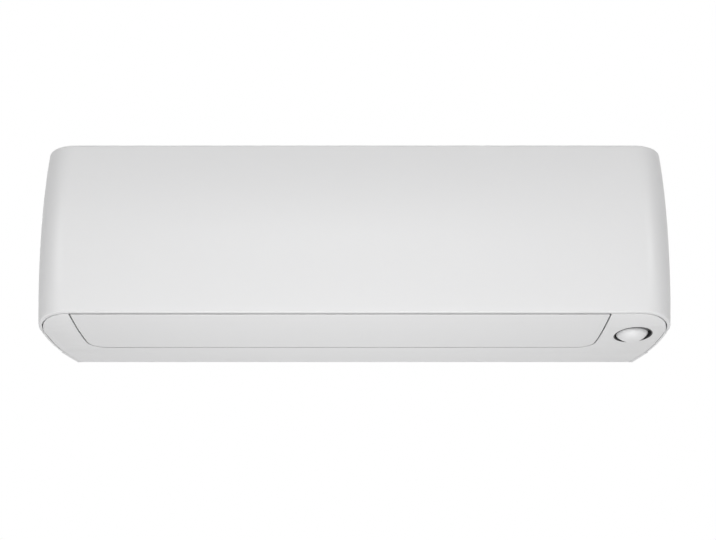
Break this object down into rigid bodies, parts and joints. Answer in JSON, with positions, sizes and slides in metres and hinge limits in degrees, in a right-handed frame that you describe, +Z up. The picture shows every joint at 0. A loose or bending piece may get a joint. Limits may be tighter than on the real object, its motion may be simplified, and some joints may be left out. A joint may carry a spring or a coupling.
{
  "type": "mini split indoor unit",
  "caption": "Wall-hung indoor unit of a split air conditioner: curved one-piece front panel that swings up, outlet flap, turning vanes, cross-flow fan, coil and round sensor.",
  "frame": {"origin": "centre of the wall plate's four outer screw holes, on the wall plane", "axes": "+X to the right seen from the room, +Y into the wall, +Z up"},
  "size_m": [0.998, 0.292, 0.299],
  "materials": {
    "white_shell": "satin, fine moulded grain",
    "inner_plastic": "satin",
    "fan_plastic": "matte",
    "vane_plastic": "matte",
    "button_plastic": "satin",
    "steel": "turned",
    "galvanised": "zinc coated sheet",
    "motor_shell": "plain",
    "rubber": "matte",
    "fins": "fine fins",
    "copper": "drawn copper tube",
    "brass": "machined",
    "filter_net": "moulded frame",
    "circuit_board": "lacquered board",
    "terminal_plastic": "moulded",
    "sensor_dark": "gloss",
    "sensor_white": "smooth"
  },
  "bodies": {
    "unit": {"front_casing": "white_shell", "bottom_cover": "white_shell", "rear_chassis": "inner_plastic", "outlet_duct": "inner_plastic", "drain_pan": "inner_plastic", "fan_bearing": "rubber", "fan_motor": "motor_shell", "motor_rings": "rubber", "motor_cover": "inner_plastic", "flap_motor": "motor_shell", "evaporator_front": "fins", "evaporator_top": "fins", "evaporator_rear": "fins", "tube_plate_left": "galvanised", "tube_plate_right": "galvanised", "hairpin_tubes": "copper", "return_bends": "copper", "gas_pipe": "copper", "liquid_pipe": "copper", "gas_flare_nut": "brass", "liquid_flare_nut": "brass", "drain_plug": "rubber", "air_filter_left": "filter_net", "air_filter_right": "filter_net", "control_box": "galvanised", "control_board": "circuit_board", "terminal_block": "terminal_plastic", "control_box_cover": "galvanised", "service_cover": "white_shell", "display_board": "circuit_board", "sensor_housing": "sensor_dark", "sensor_dome": "sensor_white", "sensor_board": "circuit_board", "mounting_plate": "galvanised", "casing_screws": "steel", "coil_thermistor": "copper", "vane_motor_left": "motor_shell", "vane_motor_right": "motor_shell"},
    "front_panel": {"front_panel": "white_shell"},
    "flap": {"flap": "white_shell"},
    "fan": {"cross_flow_fan": "fan_plastic", "fan_stub_shaft": "steel", "motor_shaft": "steel"},
    "service_button": {"service_button": "button_plastic"},
    "vane_1": {"vane_1": "vane_plastic"},
    "vane_2": {"vane_2": "vane_plastic"},
    "vane_3": {"vane_3": "vane_plastic"},
    "vane_4": {"vane_4": "vane_plastic"},
    "vane_5": {"vane_5": "vane_plastic"},
    "vane_6": {"vane_6": "vane_plastic"},
    "vane_7": {"vane_7": "vane_plastic"},
    "vane_8": {"vane_8": "vane_plastic"},
    "vane_9": {"vane_9": "vane_plastic"},
    "vane_10": {"vane_10": "vane_plastic"},
    "link_bar_left": {"link_bar_left": "vane_plastic"},
    "vane_crank_left": {"vane_crank_left": "vane_plastic"},
    "link_bar_right": {"link_bar_right": "vane_plastic"},
    "vane_crank_right": {"vane_crank_right": "vane_plastic"}
  },
  "joints": [
    {"name": "panel_hinge", "type": "hinge", "parent": "unit", "child": "front_panel", "pos_m": [0, -0.19, 0.127], "axis": [-1, 0, 0], "range_deg": [0, 60]},
    {"name": "flap_hinge", "type": "hinge", "parent": "unit", "child": "flap", "pos_m": [0, -0.165, -0.139], "axis": [1, 0, 0], "range_deg": [0, 70]},
    {"name": "fan_spin", "type": "hinge", "parent": "unit", "child": "fan", "pos_m": [0, -0.125, -0.03], "axis": [1, 0, 0], "continuous": true},
    {"name": "button_press", "type": "slide", "parent": "unit", "child": "service_button", "axis": [0, 1, 0], "range_m": [0, 0.001], "stiffness_N_per_m": 400, "springref_m": -0.001},
    {"name": "vane_1_turn", "type": "hinge", "parent": "unit", "child": "vane_1", "pos_m": [-0.39821, -0.2146, -0.07909], "axis": [0, 0.6629, -0.7487], "range_deg": [-30, 30]},
    {"name": "vane_2_turn", "type": "hinge", "parent": "unit", "child": "vane_2", "pos_m": [-0.31683, -0.2146, -0.07909], "axis": [0, 0.6629, -0.7487], "range_deg": [-30, 30]},
    {"name": "vane_3_turn", "type": "hinge", "parent": "unit", "child": "vane_3", "pos_m": [-0.23545, -0.2146, -0.07909], "axis": [0, 0.6629, -0.7487], "range_deg": [-30, 30]},
    {"name": "vane_4_turn", "type": "hinge", "parent": "unit", "child": "vane_4", "pos_m": [-0.15407, -0.2146, -0.07909], "axis": [0, 0.6629, -0.7487], "range_deg": [-30, 30]},
    {"name": "vane_5_turn", "type": "hinge", "parent": "unit", "child": "vane_5", "pos_m": [-0.07269, -0.2146, -0.07909], "axis": [0, 0.6629, -0.7487], "range_deg": [-30, 30]},
    {"name": "vane_crank_left_turn", "type": "hinge", "parent": "unit", "child": "vane_crank_left", "pos_m": [-0.4564, -0.2146, -0.07909], "axis": [0, 0.6629, -0.7487], "range_deg": [-30, 30]},
    {"name": "link_bar_left_slide", "type": "slide", "parent": "unit", "child": "link_bar_left", "axis": [1, 0, 0], "range_m": [-0.0062, 0.0062]},
    {"name": "vane_6_turn", "type": "hinge", "parent": "unit", "child": "vane_6", "pos_m": [0.02869, -0.2146, -0.07909], "axis": [0, 0.6629, -0.7487], "range_deg": [-30, 30]},
    {"name": "vane_7_turn", "type": "hinge", "parent": "unit", "child": "vane_7", "pos_m": [0.11007, -0.2146, -0.07909], "axis": [0, 0.6629, -0.7487], "range_deg": [-30, 30]},
    {"name": "vane_8_turn", "type": "hinge", "parent": "unit", "child": "vane_8", "pos_m": [0.19145, -0.2146, -0.07909], "axis": [0, 0.6629, -0.7487], "range_deg": [-30, 30]},
    {"name": "vane_9_turn", "type": "hinge", "parent": "unit", "child": "vane_9", "pos_m": [0.27283, -0.2146, -0.07909], "axis": [0, 0.6629, -0.7487], "range_deg": [-30, 30]},
    {"name": "vane_10_turn", "type": "hinge", "parent": "unit", "child": "vane_10", "pos_m": [0.35421, -0.2146, -0.07909], "axis": [0, 0.6629, -0.7487], "range_deg": [-30, 30]},
    {"name": "vane_crank_right_turn", "type": "hinge", "parent": "unit", "child": "vane_crank_right", "pos_m": [0.4124, -0.2146, -0.07909], "axis": [0, 0.6629, -0.7487], "range_deg": [-30, 30]},
    {"name": "link_bar_right_slide", "type": "slide", "parent": "unit", "child": "link_bar_right", "axis": [1, 0, 0], "range_m": [-0.0062, 0.0062]}
  ],
  "couplings": [
    {"joint": "vane_2_turn", "follows": "vane_1_turn", "ratio": 1},
    {"joint": "vane_3_turn", "follows": "vane_1_turn", "ratio": 1},
    {"joint": "vane_4_turn", "follows": "vane_1_turn", "ratio": 1},
    {"joint": "vane_5_turn", "follows": "vane_1_turn", "ratio": 1},
    {"joint": "vane_crank_left_turn", "follows": "vane_1_turn", "ratio": 1},
    {"joint": "link_bar_left_slide", "follows": "vane_1_turn", "m_per_rad": 0.011459},
    {"joint": "vane_7_turn", "follows": "vane_6_turn", "ratio": 1},
    {"joint": "vane_8_turn", "follows": "vane_6_turn", "ratio": 1},
    {"joint": "vane_9_turn", "follows": "vane_6_turn", "ratio": 1},
    {"joint": "vane_10_turn", "follows": "vane_6_turn", "ratio": 1},
    {"joint": "vane_crank_right_turn", "follows": "vane_6_turn", "ratio": 1},
    {"joint": "link_bar_right_slide", "follows": "vane_6_turn", "m_per_rad": 0.011459}
  ]
}
